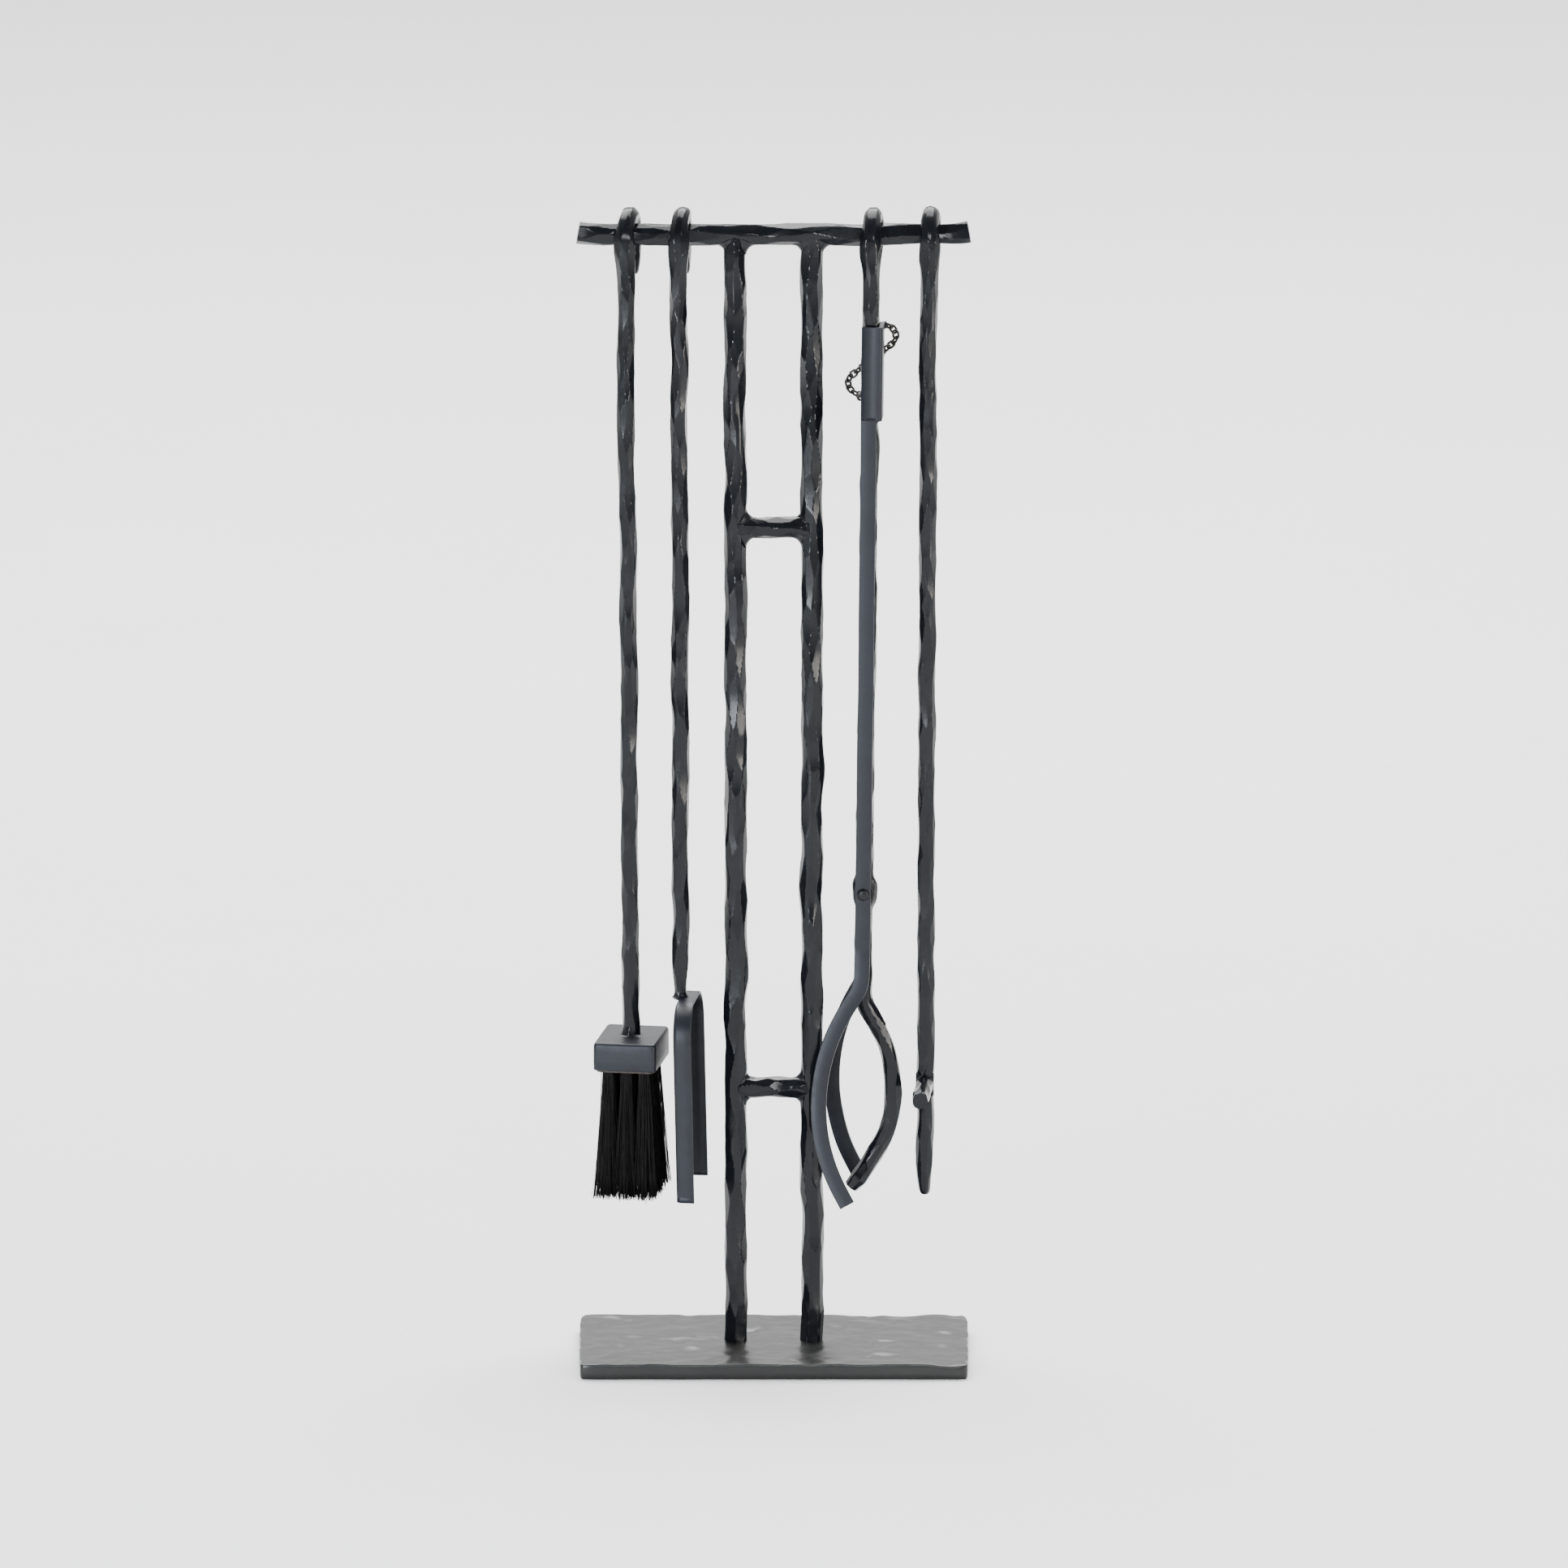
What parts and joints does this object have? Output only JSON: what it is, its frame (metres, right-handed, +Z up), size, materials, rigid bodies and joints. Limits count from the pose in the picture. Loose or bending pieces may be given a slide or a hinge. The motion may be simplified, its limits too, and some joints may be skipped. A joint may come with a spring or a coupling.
{
  "type": "fireplace tool set",
  "caption": "Welded two-post stand with a top bar; a brush, shovel, tongs and poker hang from it by hooks.",
  "frame": {"origin": "centre of the base plate's flat underside, on the floor", "axes": "+X to the right seen from the front, +Y to the back, +Z up along the uprights; the front is -Y"},
  "size_m": [0.267, 0.152, 0.7949],
  "materials": {
    "hammered_steel": "hammered, blue-black, satin gloss",
    "hammered_base": "hammered, dark grey, glossy",
    "sheet_steel": "slate blue-grey, satin",
    "weld_metal": "smooth ground weld, satin",
    "chain_steel": "dark oiled wire, satin",
    "core_wood": "plain turned block, matt",
    "bristles": "black fibre, matt"
  },
  "bodies": {
    "stand": {"base_plate": "hammered_base", "left_upright": "hammered_steel", "right_upright": "hammered_steel", "lower_rung": "hammered_steel", "upper_rung": "hammered_steel", "hanging_bar": "hammered_steel", "rung_welds": "weld_metal", "bar_welds": "weld_metal", "base_screws": "weld_metal"},
    "brush": {"brush_handle": "hammered_steel", "brush_weld": "weld_metal", "brush_cover": "sheet_steel", "brush_core": "core_wood", "bristle_tufts": "bristles"},
    "shovel": {"shovel_handle": "hammered_steel", "shovel_pan": "sheet_steel", "shovel_weld": "weld_metal"},
    "tongs": {"tongs_bar": "hammered_steel", "tongs_rivet": "weld_metal", "rivet_washers": "weld_metal", "chain_anchor": "chain_steel"},
    "lever": {"tongs_lever": "sheet_steel", "tongs_chain": "chain_steel", "chain_weld": "weld_metal"},
    "poker": {"poker_bar": "hammered_steel", "poker_spur": "hammered_steel", "spur_weld": "weld_metal"}
  },
  "joints": [
    {"name": "brush_swing", "type": "hinge", "parent": "stand", "child": "brush", "pos_m": [0, 0, 0.776], "axis": [-1, 0, 0], "range_deg": [-30, 35]},
    {"name": "shovel_swing", "type": "hinge", "parent": "stand", "child": "shovel", "pos_m": [0, 0, 0.776], "axis": [-1, 0, 0], "range_deg": [-30, 35]},
    {"name": "tongs_swing", "type": "hinge", "parent": "stand", "child": "tongs", "pos_m": [0, 0, 0.776], "axis": [-1, 0, 0], "range_deg": [-0.4, 30]},
    {"name": "tongs_open", "type": "hinge", "parent": "tongs", "child": "lever", "pos_m": [0.06122, 0.00492, 0.32083], "axis": [0.0785, 0.996, 0.0421], "range_deg": [0, 3]},
    {"name": "poker_swing", "type": "hinge", "parent": "stand", "child": "poker", "pos_m": [0, 0, 0.776], "axis": [-1, 0, 0], "range_deg": [-30, 35]}
  ]
}
